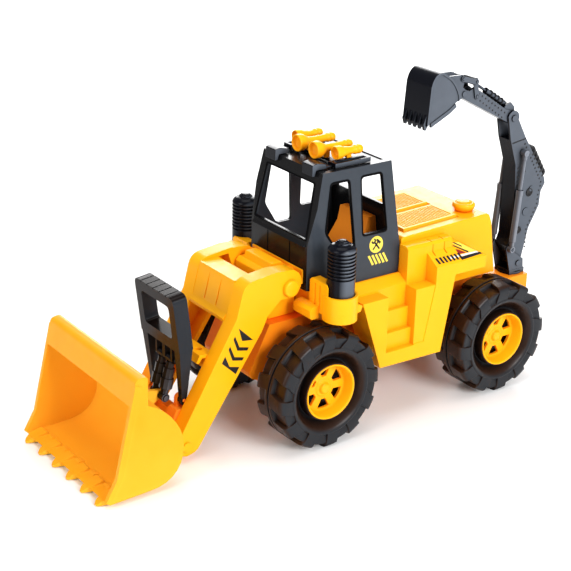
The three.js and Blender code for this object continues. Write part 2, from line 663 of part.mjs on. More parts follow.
function loaderBucket() {
  const half = bucketHalf - 3.2;
  const skin = alongX(bucketOutline(), -bucketHalf, bucketHalf, 7);
  const shell = cut(skin, alongX(bucketSpace(), -half, half, 7));
  const toothPitch = 30.4;
  const teeth = [];
  const pads = [];
  for (let tooth = 0; tooth < 6; tooth += 1) {
    const x = (tooth - 2.5) * toothPitch;
    teeth.push(bucketTooth(x));
    if (tooth > 0) {
      const pad = outline([[-245, 6.8], [-241, 9.4], [-236, 8.4], [-234, 7.2]]);
      pads.push(alongX(pad, x - toothPitch / 2 - 5, x - toothPitch / 2 + 5));
    }
  }
  const edge = outline([[-223.2, 125], [-245.5, 29.5], [-258, 8], [-252, 7.2], [-238.5, 30.5], [-217, 123]]);
  const strip = (side) => alongX(edge, ...sideRange(side, bucketHalf - 0.5, bucketHalf + 1.4));
  const lug = (side) => alongX(outline([[-172, 12], [-150, 10], [-137, 12], [-134.5, 18], [-137, 24],
    [-150, 29], [-171, 38]]), ...sideRange(side, 22, 31));
  const tab = alongX(outline([[-172, 38], [-146, 53.5], [-139.5, 56], [-139.5, 61], [-145, 63], [-174, 68]]),
    -2.6, 2.6);
  const holes = [pin(bucketPivot, pinR + running, -40, 40), pin(linkFoot, smallPinR + running, -10, 10)];
  return cut(join(shell, both(strip), ...teeth, ...pads, both(lug), tab), ...holes);
}

// ---- Backhoe ----
function backhoeBase() {
  const z0 = tongueTopZ + gap;
  const foot = box(-13, 13, 342, 366, z0, z0 + 6);
  const turntable = cylinder([0, swingY, z0], [0, swingY, z0 + 3], 15, 24);
  const peg = cylinder([0, swingY, 66], [0, swingY, z0 + 1], 5, 20);
  const cheekShape = outline([[343, z0 + 1], [365, z0 + 1], [363, 108], [357, 112], [346, 120],
    [341.5, 129], [336, 130.5], [333, 126], [335, 120]]);
  const cheek = (side) => alongX(cheekShape, ...sideRange(side, boomHalf + gap, 12.8));
  const trunnion = (side) => pin(barrelFoot, 1.8, ...sideRange(side, 12.5, 19.8));
  const hole = pin(boomPivot, smallPinR + running, -20, 20);
  return cut(join(foot, turntable, peg, both(cheek), both(trunnion)), hole);
}

function boom() {
  const side = new THREE.Shape();
  side.moveTo(336.5, 128);
  side.lineTo(348, 110);
  side.absarc(...boomPivot, 6.5, 0.8 * Math.PI, 2 * Math.PI);
  side.lineTo(370, 146);
  side.lineTo(384.4, 172);
  side.lineTo(385.5, 190);
  side.lineTo(391, 199);
  side.lineTo(389.5, 206);
  side.lineTo(351.7, 262.6);
  side.lineTo(338, 286);
  side.absarc(...stickPivot, 9, 0, Math.PI * 0.9);
  side.lineTo(327.5, 262.7);
  side.lineTo(332, 250);
  side.lineTo(339, 230);
  side.lineTo(341, 205);
  side.lineTo(341, 140);
  const fork = alongX(outline([[300, 262], [340, 262], [352, 275], [345, 310], [300, 310]]),
    -stickHalf - gap, stickHalf + gap);
  const pivotHole = pin(boomPivot, smallPinR + running, -20, 20);
  const [ramFoot, ramTop] = stickRamLine();
  const ramSpace = steppedBar(ramFoot, ramTop, [[-1, 0], [71, 4.8 + gap]]);
  const sideBoss = (mark) => both((at) => pin([mark[0], mark[1]], mark[2],
    ...sideRange(at, boomHalf - 1, boomHalf + 0.9), 10));
  const bosses = [[362, 168, 5], [368, 196, 3.5]].map(sideBoss);
  return cut(join(alongX(side, -boomHalf, boomHalf, 5), ...bosses), fork, pivotHole, ramSpace, pin(
    stickPivot, smallPinR + running, -20, 20));
}

// The moulded stick ram lies along the boom's rear edge.
function stickRamLine() {
  return [[0, 387, 205], [0, 349.5, 263]];
}

function stickRam() {
  const [foot, top] = stickRamLine();
  const steps = [[0, 0], [40, 4.2], [43, 4.7], [50, 3.6], [53, 4.7], [69, 2.6]];
  return steppedBar(foot, top, steps);
}

function boomBarrel() {
  const foot = [barrelX, ...barrelFoot];
  const top = [barrelX, ...rodPin];
  const body = steppedBar(foot, top, [[3, 0], [10, 2.9], [68, 4.1], [74, 4.4]], 12);
  const eye = pin(barrelFoot, 4, 13.1, 19.3);
  const bore = steppedBar(foot, top, [[20, 0], [90, 2.5 + gap]]);
  return cut(join(body, eye), bore, pin(barrelFoot, 1.8 + 0.5, 10, 25));
}

function boomRod() {
  const foot = [barrelX, ...barrelFoot];
  const top = [barrelX, ...rodPin];
  const length = Math.hypot(rodPin[0] - barrelFoot[0], rodPin[1] - barrelFoot[1]);
  const body = steppedBar(foot, top, [[22, 0], [length - 8, 2.5], [length, 3.2]]);
  return join(body, pin(rodPin, 4, boomHalf + gap + 0.5, barrelX + 2.8));
}

function stick() {
  const side = new THREE.Shape();
  side.moveTo(304, 286);
  side.absarc(...stickPivot, 7.6, -0.75 * Math.PI, 0.5 * Math.PI);
  side.lineTo(318, 300.3);
  side.lineTo(267.5, 332.8);
  side.lineTo(259, 329.5);
  side.absarc(...digPivot, 5, 0.35 * Math.PI, 1.25 * Math.PI);
  const channel = alongX(outline([[334, 300.5], [314, 299.5], [259, 325.5], [250, 340], [300, 345]]),
    -4.6, 4.6);
  const bracket = join(
    alongX(outline([[314, 298], [334, 291], [333, 301], [327, 307], [319, 305]]), -6.5, -3.9),
    alongX(outline([[314, 298], [334, 291], [333, 301], [327, 307], [319, 305]]), 3.9, 6.5),
  );
  const crankStub = pin(crankPivot, 1.8, -9.8, 9.8);
  const holes = [
    pin(stickPivot, smallPinR + running, -20, 20),
    pin(digPivot, smallPinR + running, -20, 20),
  ];
  const ramStub = pin(stickRamFoot, 1.5, -6, 6);
  const beam = cut(alongX(side, -stickHalf, stickHalf, 5), channel);
  return cut(join(beam, bracket, crankStub, ramStub), ...holes);
}

const crankTop = [crankPivot[0] + crankReach[0], crankPivot[1] + crankReach[1]];
const digEarTop = [digPivot[0] + crankReach[0], digPivot[1] + crankReach[1]];

function digRamBarrel() {
  const foot = [0, ...stickRamFoot];
  const top = [0, ...crankTop];
  const body = steppedBar(foot, top, [[3, 0], [36, 3.3], [40, 3.9]], 12);
  const bore = steppedBar(foot, top, [[12, 0], [50, 1.7 + gap]]);
  return cut(join(body, pin(stickRamFoot, 3.4, -3.5, 3.5)), bore, pin(stickRamFoot, 2, -9, 9));
}

function digRamRod() {
  const foot = [0, ...stickRamFoot];
  const top = [0, ...crankTop];
  const length = Math.hypot(crankTop[0] - stickRamFoot[0], crankTop[1] - stickRamFoot[1]);
  return steppedBar(foot, top, [[22, 0], [length - 7, 1.7], [length - 3.6, 2.6]]);
}

function digCrank() {
  const arm = (side) => plate(crankPivot, crankTop, 3.2, ...sideRange(side, stickHalf + gap, 9.4));
  const block = pin(crankTop, 4.4, -9.4, 9.4, 14);
  const pins = pin(crankTop, 1.5, -12.4, 12.4);
  // The rod's end works in a slot on the side of the block that faces the ram.
  const along = new THREE.Vector2(stickRamFoot[0] - crankTop[0], stickRamFoot[1] - crankTop[1]).normalize();
  const slotCorners = [[1.2, 8], [12, 8], [12, -8], [1.2, -8]].map(([reach, across]) => [
    crankTop[0] + along.x * reach - along.y * across, crankTop[1] + along.y * reach + along.x * across]);
  const slot = alongX(outline(slotCorners), -3.4, 3.4);
  const holes = both((side) => pin(crankPivot, 1.8 + 0.5, ...sideRange(side, 7, 12)));
  return cut(join(both(arm), block, pins), slot, holes);
}

function digLink() {
  const cheek = (side) => plate(crankTop, digEarTop, 3, ...sideRange(side, 10.2, 11.8));
  const slope = new THREE.Vector2(digEarTop[0] - crankTop[0], digEarTop[1] - crankTop[1]).normalize();
  const onLink = (reach) => [crankTop[0] + slope.x * reach, crankTop[1] + slope.y * reach];
  const tie = plate(onLink(8), onLink(12.2), 2.3, -10.5, 10.5);
  const holes = [crankTop, digEarTop].map((centre) => pin(centre, 1.5 + 0.6, -20, 20));
  return cut(join(both(cheek), tie), ...holes);
}

function digBucket() {
  const outer = new THREE.Shape();
  outer.moveTo(187, 302);
  outer.lineTo(190, 345);
  outer.quadraticCurveTo(194, 362, 207, 360);
  outer.lineTo(220, 352);
  outer.quadraticCurveTo(232, 340, 234, 326);
  outer.lineTo(226, 322);
  outer.lineTo(219.5, 317);
  const inner = new THREE.Shape();
  inner.moveTo(189, 296);
  inner.lineTo(192.4, 344);
  inner.quadraticCurveTo(196, 358.6, 206, 357.6);
  inner.lineTo(218, 350);
  inner.quadraticCurveTo(229.5, 339, 231.5, 327.5);
  inner.lineTo(230, 310);
  const shell = cut(alongX(outer, -digHalf, digHalf, 6), alongX(inner, -digHalf + 2, digHalf - 2, 6));
  const rim = cut(alongX(outer, -digHalf - 1, digHalf + 1, 6), alongX(inner, -digHalf - 2, digHalf + 2, 6));
  const lip = (side) => alongX(outline([[192, 304.5], [218, 316.6], [227, 322.6], [229, 318.5], [219, 312],
    [193, 300]]), ...sideRange(side, digHalf - 2, digHalf + 1));
  const ear = (side) => alongX(outline([[231, 341], [224, 351], [243, 350.5], [248.8, 349], [249.5, 344],
    [246.5, 336], [253, 331], [254, 326], [250, 323], [244, 323], [231, 327]]),
  ...sideRange(side, stickHalf + gap, 9.9));
  const teeth = [];
  for (let tooth = 0; tooth < 5; tooth += 1) {
    const x = -16.5 + tooth * 8.25;
    teeth.push(alongX(outline([[187.5, 314], [191, 312], [191, 303], [187.6, 297], [186.2, 297], [184, 304]]),
      x - 1.9, x + 1.9));
  }
  const upperPin = both((side) => pin(digEarTop, 1.5, ...sideRange(side, 9, 12.4)));
  const lowerHole = pin(digPivot, smallPinR + running, -20, 20);
  return join(cut(join(shell, rim, both(lip), both(ear), ...teeth), lowerHole), upperPin);
}

// ---- Assembly ----
function assemble() {
  const toy = new THREE.Group();
  toy.add(wheelSet('front', 0), wheelSet('rear', wheelbase));
  toy.add(node('chassis_frame', chassis(), 'orange'));
  toy.add(node('body_shell', bodyShell(), 'yellow'));
  toy.add(node('nose_block', noseBlock(), 'yellow'));
  toy.add(...leftAndRight('side_pod', sidePod(), 'yellow'));
  toy.add(...leftAndRight('lamp_bracket', lampBracket(), 'yellow'));
  toy.add(...leftAndRight('exhaust_stack', exhaustStack(), 'black'));
  toy.add(...leftAndRight('deck_grille', deckGrille(), 'yellow'));
  const cap = node('filler_cap', fillerCap(), 'yellow');
  cap.position.set(35, 237, hoodTopAt(250.5) + gap);
  toy.add(cap);
  toy.add(node('cab_shell', cab(), 'grey'));
  toy.add(node('roof_trim', roofTrim(), 'black'));
  toy.add(node('seat', seat(), 'orange'));
  toy.add(...roofLights());

  toy.add(...leftAndRight('loader_arm', loaderArm(), 'yellow'));
  toy.add(node('arm_crossbeam', armCrossbeam(), 'yellow'));
  toy.add(node('arm_lower_brace', armLowerBrace(), 'yellow'));
  toy.add(node('handle_bracket', handleBracket(), 'orange'));
  toy.add(node('arm_pin', hingePin(armPivot, pinR, armOutX, 7.5, 2.4), 'yellow'));
  toy.add(node('bucket_pin', hingePin(bucketPivot, pinR, armOutX, 5.5, 1.8), 'yellow'));
  toy.add(node('link_pin_upper', hingePin(linkTop, smallPinR, 16.6, 3.4, 1.2), 'black'));
  toy.add(node('link_pin_lower', hingePin(linkFoot, smallPinR, 12.8, 3.4, 1.2), 'black'));
  toy.add(node('handle', handle(), 'black'));
  toy.add(...leftAndRight('tilt_link', tiltLink(), 'black'));
  toy.add(node('loader_bucket', loaderBucket(), 'yellow'));

  toy.add(node('backhoe_base', backhoeBase(), 'black'));
  toy.add(node('boom_pin', hingePin(boomPivot, smallPinR, 12.8, 3.6, 1.4), 'black'));
  toy.add(node('boom', boom(), 'black'));
  toy.add(node('stick_ram', stickRam(), 'black'));
  toy.add(...leftAndRight('boom_barrel', boomBarrel(), 'black'));
  toy.add(...leftAndRight('boom_rod', boomRod(), 'black'));
  toy.add(node('stick_pin', hingePin(stickPivot, smallPinR, boomHalf, 4, 1.4), 'black'));
  toy.add(node('stick', stick(), 'black'));
  toy.add(node('dig_ram_barrel', digRamBarrel(), 'black'));
  toy.add(node('dig_ram_rod', digRamRod(), 'black'));
  toy.add(node('dig_crank', digCrank(), 'black'));
  toy.add(node('dig_link', digLink(), 'black'));
  toy.add(node('dig_pin', hingePin(digPivot, smallPinR, 9.9, 3.4, 1), 'black'));
  toy.add(node('dig_bucket', digBucket(), 'black'));
  return toy;
}

const group = assemble();
const extent = new THREE.Box3().setFromObject(group);
group.position.y = -(extent.min.y + extent.max.y) / 2;

export default group;
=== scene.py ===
import json
import math

import bmesh
import bpy
from mathutils import Matrix, Vector
from mathutils.bvhtree import BVHTree


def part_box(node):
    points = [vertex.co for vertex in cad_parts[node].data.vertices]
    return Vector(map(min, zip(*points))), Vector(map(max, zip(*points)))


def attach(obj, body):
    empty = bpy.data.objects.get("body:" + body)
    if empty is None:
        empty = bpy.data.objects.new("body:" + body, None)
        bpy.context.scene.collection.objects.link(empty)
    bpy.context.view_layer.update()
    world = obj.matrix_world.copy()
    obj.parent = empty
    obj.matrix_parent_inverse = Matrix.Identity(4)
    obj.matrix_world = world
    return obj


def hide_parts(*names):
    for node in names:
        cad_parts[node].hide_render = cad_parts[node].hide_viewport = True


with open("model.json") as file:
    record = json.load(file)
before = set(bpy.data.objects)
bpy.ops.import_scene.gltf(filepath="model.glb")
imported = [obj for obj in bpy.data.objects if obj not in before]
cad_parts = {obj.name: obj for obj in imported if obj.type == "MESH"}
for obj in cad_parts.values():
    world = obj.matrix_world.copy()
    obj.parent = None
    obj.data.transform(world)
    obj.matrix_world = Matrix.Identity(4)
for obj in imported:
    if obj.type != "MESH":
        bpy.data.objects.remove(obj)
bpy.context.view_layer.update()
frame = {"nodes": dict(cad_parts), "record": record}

nodes = frame["nodes"]

# Shapes are in millimetres, with Y measured from the front axle. Materials, lights and the floor are in metres.
AXLE_Y = sum(corner.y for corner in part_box("front_axle")) / 2


def place(x, y, z):
    return Vector((x / 1000, y / 1000 + AXLE_Y, z / 1000))


# ---- Materials ----
class Nodes:
    """A small wrapper that adds shader nodes and links their inputs in one call."""

    def __init__(self, name):
        self.material = bpy.data.materials.new(name)
        self.material.use_nodes = True
        self.tree = self.material.node_tree
        self.shader = self.tree.nodes["Principled BSDF"]
        self.at = self.add("ShaderNodeTexCoord").outputs["Object"]

    def add(self, kind, settings=(), **inputs):
        node = self.tree.nodes.new(kind)
        for key, value in dict(settings).items():
            setattr(node, key, value)
        for key, value in inputs.items():
            socket = node.inputs[int(key[1:])] if key[0] == "i" and key[1:].isdigit() else node.inputs[key]
            self.put(socket, value)
        return node

    def put(self, socket, value):
        if isinstance(value, bpy.types.NodeSocket):
            self.tree.links.new(value, socket)
        else:
            socket.default_value = value

    def noise(self, scale, detail=2.0):
        node = self.add("ShaderNodeTexNoise", Vector=self.at, Scale=scale, Detail=detail, Roughness=0.5)
        return node.outputs["Fac"]

    def spread(self, value, low, high, start=0.3, end=0.7):
        node = self.add("ShaderNodeMapRange", Value=value)
        for key, number in (("From Min", start), ("From Max", end), ("To Min", low), ("To Max", high)):
            node.inputs[key].default_value = number
        return node.outputs["Result"]

    def math(self, operation, a, b=0.0):
        return self.add("ShaderNodeMath", {"operation": operation}, i0=a, i1=b).outputs[0]

    def mix(self, factor, a, b):
        node = self.add("ShaderNodeMix", {"data_type": "RGBA"})
        self.put(node.inputs["Factor"], factor)
        for socket, value in zip([s for s in node.inputs if s.type == "RGBA"], (a, b)):
            self.put(socket, value if isinstance(value, bpy.types.NodeSocket) else (*value, 1))
        return [s for s in node.outputs if s.type == "RGBA"][0]

    def recess(self, distance):
        node = self.add("ShaderNodeAmbientOcclusion", {"samples": 8}, Distance=distance)
        return node.outputs["AO"]

    def bump(self, height, strength, distance, under=None):
        node = self.add("ShaderNodeBump", Height=height, Strength=strength, Distance=distance)
        if under is not None:
            self.put(node.inputs["Normal"], under)
        return node.outputs["Normal"]


def finish_plastic(m, tone, deep, painted_recess_mask, roughness, specular, grain):
    """Joins a colour to the shader, with painted shade in recesses: where ambient occlusion finds the surface hidden,
    the colour turns to the deep colour and the specular level drops.
    """
    # Painted shade: recesses take the deep colour, and lose some of their specular level.
    m.put(m.shader.inputs["Base Color"], m.mix(painted_recess_mask, tone, deep))
    m.put(m.shader.inputs["Roughness"], m.spread(m.noise(120, 4), roughness * 0.85, roughness * 1.2))
    m.put(m.shader.inputs["Specular IOR Level"], m.spread(painted_recess_mask, specular, specular * 0.3, 0, 1))
    sink = m.bump(m.noise(45, 1), 0.05, 0.0006)
    m.put(m.shader.inputs["Normal"], m.bump(m.noise(2600, 2), grain, 0.00006, sink))
    m.shader.inputs["IOR"].default_value = 1.45
    return m.material


def bright_plastic(name, light, deep, roughness, recess=0.03):
    """Yellow or orange moulded plastic with a random mottle, and with painted shade in recesses."""
    m = Nodes(name)
    tone = m.mix(m.math("MULTIPLY", m.spread(m.noise(38, 3), 0, 1), 0.12), light, deep)
    # Painted shade: the mask rises where ambient occlusion finds a recess.
    painted_recess_mask = m.spread(m.recess(recess), 0.8, 0.0, 0.15, 0.8)
    return finish_plastic(m, tone, deep, painted_recess_mask, roughness, specular=0.2, grain=0.1)


def dark_plastic(name, main_colour, painted_side_sheen, roughness, recess, grain=0.1, specular=0.25):
    """Black moulded plastic with a painted sheen: faces that point along X take the paler side colour, and recesses
    take painted shade.
    """
    m = Nodes(name)
    normal = m.add("ShaderNodeTexCoord").outputs["Normal"]
    # Painted sheen: the more a face points along X, the paler its colour.
    across = m.math("ABSOLUTE", m.add("ShaderNodeSeparateXYZ", Vector=normal).outputs["X"])
    tone = m.mix(m.spread(across, 0, 1, 0.7, 0.97), main_colour, painted_side_sheen)
    tone = m.mix(m.spread(m.noise(60, 3), 0, 0.1), tone, NEAR_BLACK)
    # Painted shade: recesses turn near black.
    painted_recess_mask = m.spread(m.recess(recess), 0.95, 0.0, 0.35, 0.9)
    return finish_plastic(m, tone, NEAR_BLACK, painted_recess_mask, roughness, specular, grain)


def steel():
    m = Nodes("steel_rod")
    stretched = m.add("ShaderNodeMapping", Vector=m.at)
    stretched.inputs["Scale"].default_value = (4, 400, 400)
    lines = m.add("ShaderNodeTexNoise", Vector=stretched.outputs["Vector"], Scale=6.0, Detail=3.0)
    m.put(m.shader.inputs["Base Color"], m.mix(lines.outputs["Fac"], (0.5, 0.5, 0.52), (0.78, 0.78, 0.8)))
    m.put(m.shader.inputs["Roughness"], m.spread(lines.outputs["Fac"], 0.22, 0.42))
    m.shader.inputs["Metallic"].default_value = 1.0
    return m.material


def print_ink(name, light, dark):
    """A printed sticker: faint mottling and a slightly uneven gloss."""
    m = Nodes(name)
    m.put(m.shader.inputs["Base Color"], m.mix(m.noise(300, 3), light, dark))
    m.put(m.shader.inputs["Roughness"], m.spread(m.noise(500, 3), 0.28, 0.4))
    m.shader.inputs["Specular IOR Level"].default_value = 0.3
    return m.material


# Near black: the random dark mottle of the black plastics, and their painted shade in recesses.
NEAR_BLACK = (0.0025, 0.0025, 0.003)
# Light colour, deep colour, roughness and, where it isn't the usual one, how far a recess reaches. The deep colour
# gives the random mottle and the painted shade in recesses.
BRIGHT = {
    "yellow_plastic": ((1.0, 0.45, 0.004), (1.0, 0.31, 0.006), 0.33),
    # The chassis: a wide recess reach, so that its deep red-orange paints shade over its front end between the wheels
    # and arms.
    "amber_plastic": ((0.98, 0.34, 0.008), (0.85, 0.11, 0.006), 0.36, 0.07),
    "orange_plastic": ((1.0, 0.3, 0.018), (0.8, 0.085, 0.008), 0.36),
    # The loader bucket's yellow: a darker light colour paints shade on its outside, where the key light is strong,
    # and a paler deep colour over a wide recess reach paints light inside it.
    "bucket_yellow_painted_shading": ((1.0, 0.36, 0.004), (1.0, 0.6, 0.05), 0.36, 0.14),
    "grille_yellow": ((1.0, 0.5, 0.02), (0.85, 0.3, 0.01), 0.4, 0.003),
}
# Per black: main colour, paler side colour (painted sheen), roughness, recess reach, and where set, grain and
# specular level.
DARK = {
    "black_plastic": dict(main_colour=(0.003, 0.0035, 0.007), painted_side_sheen=(0.1, 0.115, 0.14), roughness=0.22, recess=0.012,
                          specular=0.14),
    "charcoal_plastic": dict(main_colour=(0.006, 0.0058, 0.0065), painted_side_sheen=(0.042, 0.05, 0.062), roughness=0.22,
                             recess=0.012, specular=0.18),
    # The handle: its brownish main colour is a painted reflection.
    "handle_black": dict(main_colour=(0.006, 0.003, 0.002), painted_side_sheen=(0.022, 0.025, 0.031), roughness=0.2, recess=0.012,
                         specular=0.1),
    # The rams: a paler grey copy of the black plastic, painted light standing for the highlight on the rods and
    # barrels.
    "ram_black_painted_light": dict(main_colour=(0.07, 0.078, 0.095), painted_side_sheen=(0.2, 0.22, 0.26), roughness=0.22, recess=0.006),
    # The window beads: near black, a painted shadow round each window.
    "bead_shadow_black": dict(main_colour=(0.003, 0.003, 0.0035), painted_side_sheen=(0.004, 0.004, 0.0045), roughness=0.3, recess=0.004,
                         specular=0.03),
    # The tyre: the brownish main colour on the tread is a painted reflection of the orange body, and the grey-blue
    # side colour on the sidewalls a painted sheen.
    "tyre_black": dict(main_colour=(0.024, 0.009, 0.004), painted_side_sheen=(0.014, 0.0155, 0.019), roughness=0.34, recess=0.009,
                       grain=0.2),
}
INKS = {
    # Near-black ink: the print on the arm, door and mudguard, and painted shade on the studs of the boom and stick.
    "ink_and_shade_black": ((0.006, 0.006, 0.007), (0.02, 0.02, 0.022)),
    "decal_yellow": ((0.95, 0.75, 0.1), (0.9, 0.65, 0.06)),
    "decal_white": ((0.85, 0.84, 0.8), (0.7, 0.69, 0.66)),
    "decal_red": ((0.35, 0.02, 0.015), (0.2, 0.01, 0.01)),
}
materials = {name: bright_plastic(name, *look) for name, look in BRIGHT.items()}
materials |= {name: dark_plastic(name, **look) for name, look in DARK.items()}
materials |= {name: print_ink(name, *look) for name, look in INKS.items()}
materials["steel_rod"] = steel()


# ---- Shapes ----
AXES = {
    "x": lambda a, b, t: (t, a, b),
    "y": lambda a, b, t: (a, t, b),
    "z": lambda a, b, t: (a, b, t),
}


def rounded(points, radius, steps=4, closed=True):
    """The outline with each corner replaced by a short arc."""
    result = []
    count = len(points)
    for i, point in enumerate(points):
        corner = Vector(point)
        if not closed and i in (0, count - 1):
            result.append(tuple(corner))
            continue
        before = Vector(points[i - 1]) - corner
        after = Vector(points[(i + 1) % count]) - corner
        reach = min(radius, before.length * 0.45, after.length * 0.45)
        start = corner + before.normalized() * reach
        end = corner + after.normalized() * reach
        for step in range(steps + 1):
            t = step / steps
            result.append(tuple(start * (1 - t) ** 2 + corner * 2 * t * (1 - t) + end * t * t))
    return result


def arc(centre, radius, start, end, steps=16):
    """Points of a circular arc between two angles in degrees."""
    made = []
    for step in range(steps + 1):
        angle = math.radians(start + (end - start) * step / steps)
        made.append((centre[0] + radius * math.cos(angle), centre[1] + radius * math.sin(angle)))
    return made


def softened(bm, width):
    """Rounds every edge that turns by more than 30 degrees."""
    edges = [e for e in bm.edges if e.is_manifold and e.calc_face_angle(0) > math.radians(30)]
    if edges and width:
        bmesh.ops.bevel(bm, geom=edges, offset=width, offset_type="OFFSET", segments=3,
                        profile=0.5, affect="EDGES", clamp_overlap=True)


def slab(outline, axis, low, high, bevel=0.5):
    """A flat outline swept along an axis, with softened edges, in millimetres."""
    bm = bmesh.new()
    ends = [[bm.verts.new(AXES[axis](a, b, t)) for a, b in outline] for t in (low, high)]
    bm.faces.new(ends[0][::-1])
    bm.faces.new(ends[1])
    for i in range(len(outline)):
        j = (i + 1) % len(outline)
        bm.faces.new((ends[0][i], ends[0][j], ends[1][j], ends[1][i]))
    bmesh.ops.recalc_face_normals(bm, faces=bm.faces)
    softened(bm, bevel)
    return bm


def box(x0, x1, y0, y1, z0, z1, bevel=0.5):
    return slab([(x0, y0), (x1, y0), (x1, y1), (x0, y1)], "z", z0, z1, bevel)


def lathe(profile, axis, centre, segments=64):
    """A profile of (radius, distance along the axis) points turned round the axis."""
    bm = bmesh.new()
    rings = []
    for radius, along in profile:
        if radius < 1e-6:
            rings.append([bm.verts.new(turn_point(axis, centre, 0, 0, along))])
            continue
        rings.append([
            bm.verts.new(turn_point(axis, centre, radius, 2 * math.pi * i / segments, along))
            for i in range(segments)])
    for low, high in zip(rings, rings[1:]):
        for i in range(segments):
            j = (i + 1) % segments
            corners = [low[i % len(low)], low[j % len(low)], high[j % len(high)], high[i % len(high)]]
            unique = list(dict.fromkeys(corners))
            if len(unique) > 2:
                bm.faces.new(unique)
    bmesh.ops.recalc_face_normals(bm, faces=bm.faces)
    return bm


def turn_point(axis, centre, radius, angle, along):
    a = radius * math.cos(angle)
    b = radius * math.sin(angle)
    offset = {"x": (along, a, b), "y": (a, along, b), "z": (a, b, along)}[axis]
    return tuple(c + o for c, o in zip(centre, offset))


def rod(start, end, steps):
    """A bar between two points whose (distance, radius) steps give its outline."""
    start, end = Vector(start), Vector(end)
    profile = [(0.0, steps[0][0])]
    for (at, radius), (to, _) in zip(steps, steps[1:]):
        profile += [(radius, at), (radius, to)]
    profile.append((0.0, steps[-1][0]))
    bm = lathe(rounded(profile, 0.5, 2, closed=False), "z", (0, 0, 0), 24)
    turn = Vector((0, 0, 1)).rotation_difference(end - start).to_matrix().to_4x4()
    bmesh.ops.transform(bm, matrix=Matrix.Translation(start) @ turn, verts=bm.verts)
    return bm


def mirrored(bm):
    copy = bm.copy()
    bmesh.ops.transform(copy, matrix=Matrix.Diagonal((-1, 1, 1, 1)), verts=copy.verts)
    bmesh.ops.reverse_faces(copy, faces=copy.faces)
    return copy


def piece(name, body, slot, *shapes, material=None, replaces=()):
    """One object from millimetre shapes, which rides on a body and may stand for CAD nodes."""
    mesh = bpy.data.meshes.new(name)
    whole = bmesh.new()
    for shape in shapes:
        part = bpy.data.meshes.new("part")
        shape.to_mesh(part)
        whole.from_mesh(part)
        bpy.data.meshes.remove(part)
        shape.free()
    for vert in whole.verts:
        vert.co = place(*vert.co)
    for face in whole.faces:
        face.smooth = True
    whole.to_mesh(mesh)
    whole.free()
    mesh.materials.append(materials[material or slot])
    obj = bpy.data.objects.new(name, mesh)
    bpy.context.scene.collection.objects.link(obj)
    weighted(obj)
    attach(obj, body)
    if replaces:
        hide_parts(*replaces)


def weighted(obj):
    shade = obj.modifiers.new("even_shading", "WEIGHTED_NORMAL")
    shade.keep_sharp = False
    shade.weight = 80


# ---- CAD nodes that stay visible, with moulded edges ----
USUAL_EDGE = 0.4
EDGE = {
    "handle": 1.6, "loader_arm_left": 1.8, "loader_arm_right": 1.8, "body_shell": 1.6,
    "side_pod_left": 1.2, "side_pod_right": 1.2, "cab_shell": 0.9, "nose_block": 1.2,
    "lamp_bracket_left": 1.0, "lamp_bracket_right": 1.0, "arm_crossbeam": 1.0, "chassis_frame": 1.4,
    "seat": 2.0, "loader_bucket": 0.8, "roof_trim": 0.6, "backhoe_base": 0.6, "boom": 0.7,
    "dig_crank": 0.15, "dig_ram_rod": 0.15,
}

# Nodes with a variant of their slot's material.
VARIANT = {
    "boom_rod_left": "ram_black_painted_light", "boom_rod_right": "ram_black_painted_light", "boom_barrel_left": "ram_black_painted_light",
    "boom_barrel_right": "ram_black_painted_light", "loader_bucket": "bucket_yellow_painted_shading", "handle": "handle_black",
}


def dressed(name):
    """Gives a CAD node its material and softened edges."""
    obj = nodes[name]
    slot = next(s["material_slot"] for s in frame["record"]["subparts"] if s["node"] == name)
    obj.data.materials.clear()
    obj.data.materials.append(materials[VARIANT.get(name, slot)])
    obj.data.polygons.foreach_set("use_smooth", [True] * len(obj.data.polygons))
    weld = obj.modifiers.new("weld", "WELD")
    weld.merge_threshold = 0.00001
    flat = obj.modifiers.new("flat_faces", "DECIMATE")
    flat.decimate_type = "DISSOLVE"
    flat.angle_limit = math.radians(1)
    bevel = obj.modifiers.new("moulded_edges", "BEVEL")
    bevel.width = EDGE.get(name, USUAL_EDGE) / 1000
    bevel.segments = 3
    bevel.limit_method = "ANGLE"
    bevel.angle_limit = math.radians(35)
    bevel.use_clamp_overlap = True
    weighted(obj)


# ---- Wheels ----
WHEELBASE = 245
TYRE_R = 65.0
TYRE_MIDDLE = 83.5
LUGS = 12
STAR_X = 91.8


def tyre_section():
    """(x, r, pocket depth) along the tyre's surface, from its outer bore to its inner bore."""
    outer = [
        (90, 30.9, 0), (105.6, 30.9, 0), (106.1, 31.3, 0), (106.0, 31.9, 0), (105.2, 32.2, 0), (95.6, 32.8, 0),
        (95.2, 34.0, 0), (96.4, 36.6, 0), (99.2, 39.2, 0), (102.4, 41.4, 0), (105.0, 43.4, 0), (106.5, 45.4, 0),
        (107.0, 47.4, 0), (107.0, 48.4, 0), (106.6, 48.8, 0), (106.6, 49.2, 1.6),
        (106.9, 52, 1.9), (107.0, 55.5, 2.2), (106.9, 58.8, 2.6), (106.5, 61.4, 3.2), (105.6, 63.4, 3.9),
        (103.8, 64.6, 4.5), (101.2, 65.0, 4.8), (96, 65.0, 4.8), (90.2, 65.0, 4.8), (89.4, 65.0, 4.2),
        (88.8, 65.0, 0), (86.4, 65.0, 0), (85.0, 64.9, 0), (84.6, 64.5, 0), (84.4, 62.6, 0),
    ]
    inner = [(2 * TYRE_MIDDLE - x, r, depth) for x, r, depth in outer[::-1]]
    return outer + [point for point in inner if point[1] > 44] + [
        (61.6, 41.4, 0), (63.4, 38.4, 0), (66.0, 34.2, 0), (70.0, 32.5, 0), (88, 32.5, 0)]


